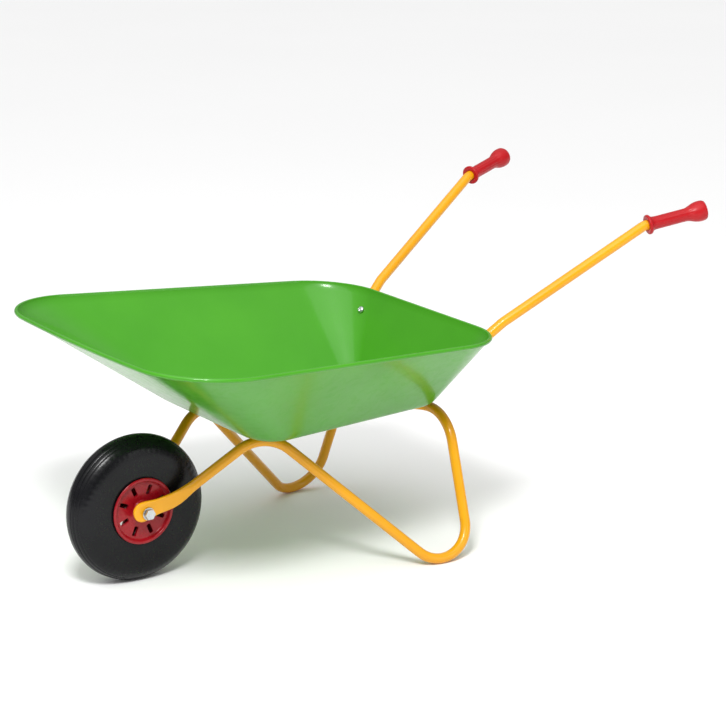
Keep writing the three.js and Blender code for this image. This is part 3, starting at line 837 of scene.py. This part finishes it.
def build_valve():
    profile = [(0.0, 24.0), (2.0, 24.0), (2.4, 24.5)]
    level = 24.8
    while level < 30.4:
        profile += [(2.15, level + 0.3), (2.4, level + 0.6)]
        level += 0.6
    profile += [(2.4, 31.0), (3.0, 31.4), (3.0, 44.5), (6.0, 45.2), (6.0, 46.2), (0.0, 46.2)]
    points, faces = turned(profile, AXLE, (1, 0, 0), 40)
    add_piece("look_tube_valve", points, faces, TYRE_BLACK, "wheel", crease=40)


# ---- What stays as packed ----

def finish_cad_nodes():
    """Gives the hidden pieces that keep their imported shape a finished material."""
    for node, material in (("inner_tube", TYRE_BLACK), ("frame_joining_spigot", ZINC)):
        packed = frame["nodes"][node]
        packed.data.materials.clear()
        packed.data.materials.append(material)


# ---- Stage ----

def stage_material(name, colour, roughness):
    material, nodes, links, shader, where = new_material(name)
    cloud = noise(nodes, links, where, 1.5, 2.0)
    near = tuple(c * 0.99 for c in colour)
    links.new(ramp(nodes, links, cloud, [(0.3, near), (0.7, colour)]), shader.inputs["Base Color"])
    shader.inputs["Roughness"].default_value = roughness
    return material


def build_stage():
    mesh = bpy.data.meshes.new("floor")
    made = bmesh.new()
    bmesh.ops.create_grid(made, x_segments=2, y_segments=2, size=30.0)
    made.to_mesh(mesh)
    made.free()
    floor = bpy.data.objects.new("floor", mesh)
    mesh.materials.append(stage_material("floor_paper", (0.93, 0.93, 0.93), 0.75))
    bpy.context.scene.collection.objects.link(floor)


def area_light(name, at, look_at, size, power):
    data = bpy.data.lights.new(name, "AREA")
    data.shape = "RECTANGLE"
    data.size, data.size_y = size
    data.energy = power
    light = bpy.data.objects.new(name, data)
    light.location = at
    light.rotation_mode = "QUATERNION"
    light.rotation_quaternion = (Vector(look_at) - Vector(at)).to_track_quat("-Z", "Y")
    bpy.context.scene.collection.objects.link(light)


def build_world():
    """Light from a bright ceiling that falls away towards the horizon."""
    world = bpy.data.worlds.new("studio")
    world.use_nodes = True
    nodes, links = world.node_tree.nodes, world.node_tree.links
    where = nodes.new("ShaderNodeTexCoord")
    split = nodes.new("ShaderNodeSeparateXYZ")
    links.new(where.outputs["Generated"], split.inputs["Vector"])
    stops = [(0.0, (0.2,) * 3), (0.25, (0.3,) * 3), (0.6, (0.8,) * 3), (1.0, (1.0,) * 3)]
    links.new(ramp(nodes, links, split.outputs["Z"], stops), nodes["Background"].inputs["Color"])
    nodes["Background"].inputs["Strength"].default_value = 0.8
    bpy.context.scene.world = world


def build_lights():
    build_world()
    data = bpy.data.lights.new("overhead", "SUN")
    data.energy = 1.3
    data.angle = math.radians(70)
    overhead = bpy.data.objects.new("overhead", data)
    overhead.rotation_mode = "QUATERNION"
    overhead.rotation_quaternion = Vector((0.35, 0.25, -1)).to_track_quat("-Z", "Y")
    bpy.context.scene.collection.objects.link(overhead)
    area_light("key", (-1.25, -1.35, 2.15), (-0.3, 0, 0.15), (0.55, 0.55), 52)
    area_light("fill", (1.2, -3.2, 0.9), (0.0, 0, 0.2), (0.8, 1.6), 8)


def build_camera():
    azimuth, pitch, roll = (math.radians(v) for v in (CAMERA_AZIMUTH, CAMERA_PITCH, CAMERA_ROLL))
    right = Vector((math.cos(azimuth), -math.sin(azimuth), 0))
    level = Vector((math.sin(azimuth), math.cos(azimuth), 0))
    ahead = level * math.cos(pitch) - Vector((0, 0, math.sin(pitch)))
    up = right.cross(ahead)
    turned_right = right * math.cos(roll) + up * math.sin(roll)
    turned_up = up * math.cos(roll) - right * math.sin(roll)
    data = bpy.data.cameras.new("camera")
    data.lens = CAMERA_LENS
    data.sensor_width = SENSOR
    data.clip_start = 0.05
    camera = bpy.data.objects.new("camera", data)
    rows = Matrix((turned_right, turned_up, -ahead)).transposed()
    camera.matrix_world = Matrix.Translation(CAMERA_AT) @ rows.to_4x4()
    bpy.context.scene.collection.objects.link(camera)
    bpy.context.scene.camera = camera
    bpy.context.scene.view_settings.view_transform = "Standard"


build_camera()
build_stage()
build_lights()
build_tray()
build_side_frames()
build_handles()
build_floor_screws()
build_tyre()
build_rims()
build_bushes()
build_axle()
build_valve()
finish_cad_nodes()
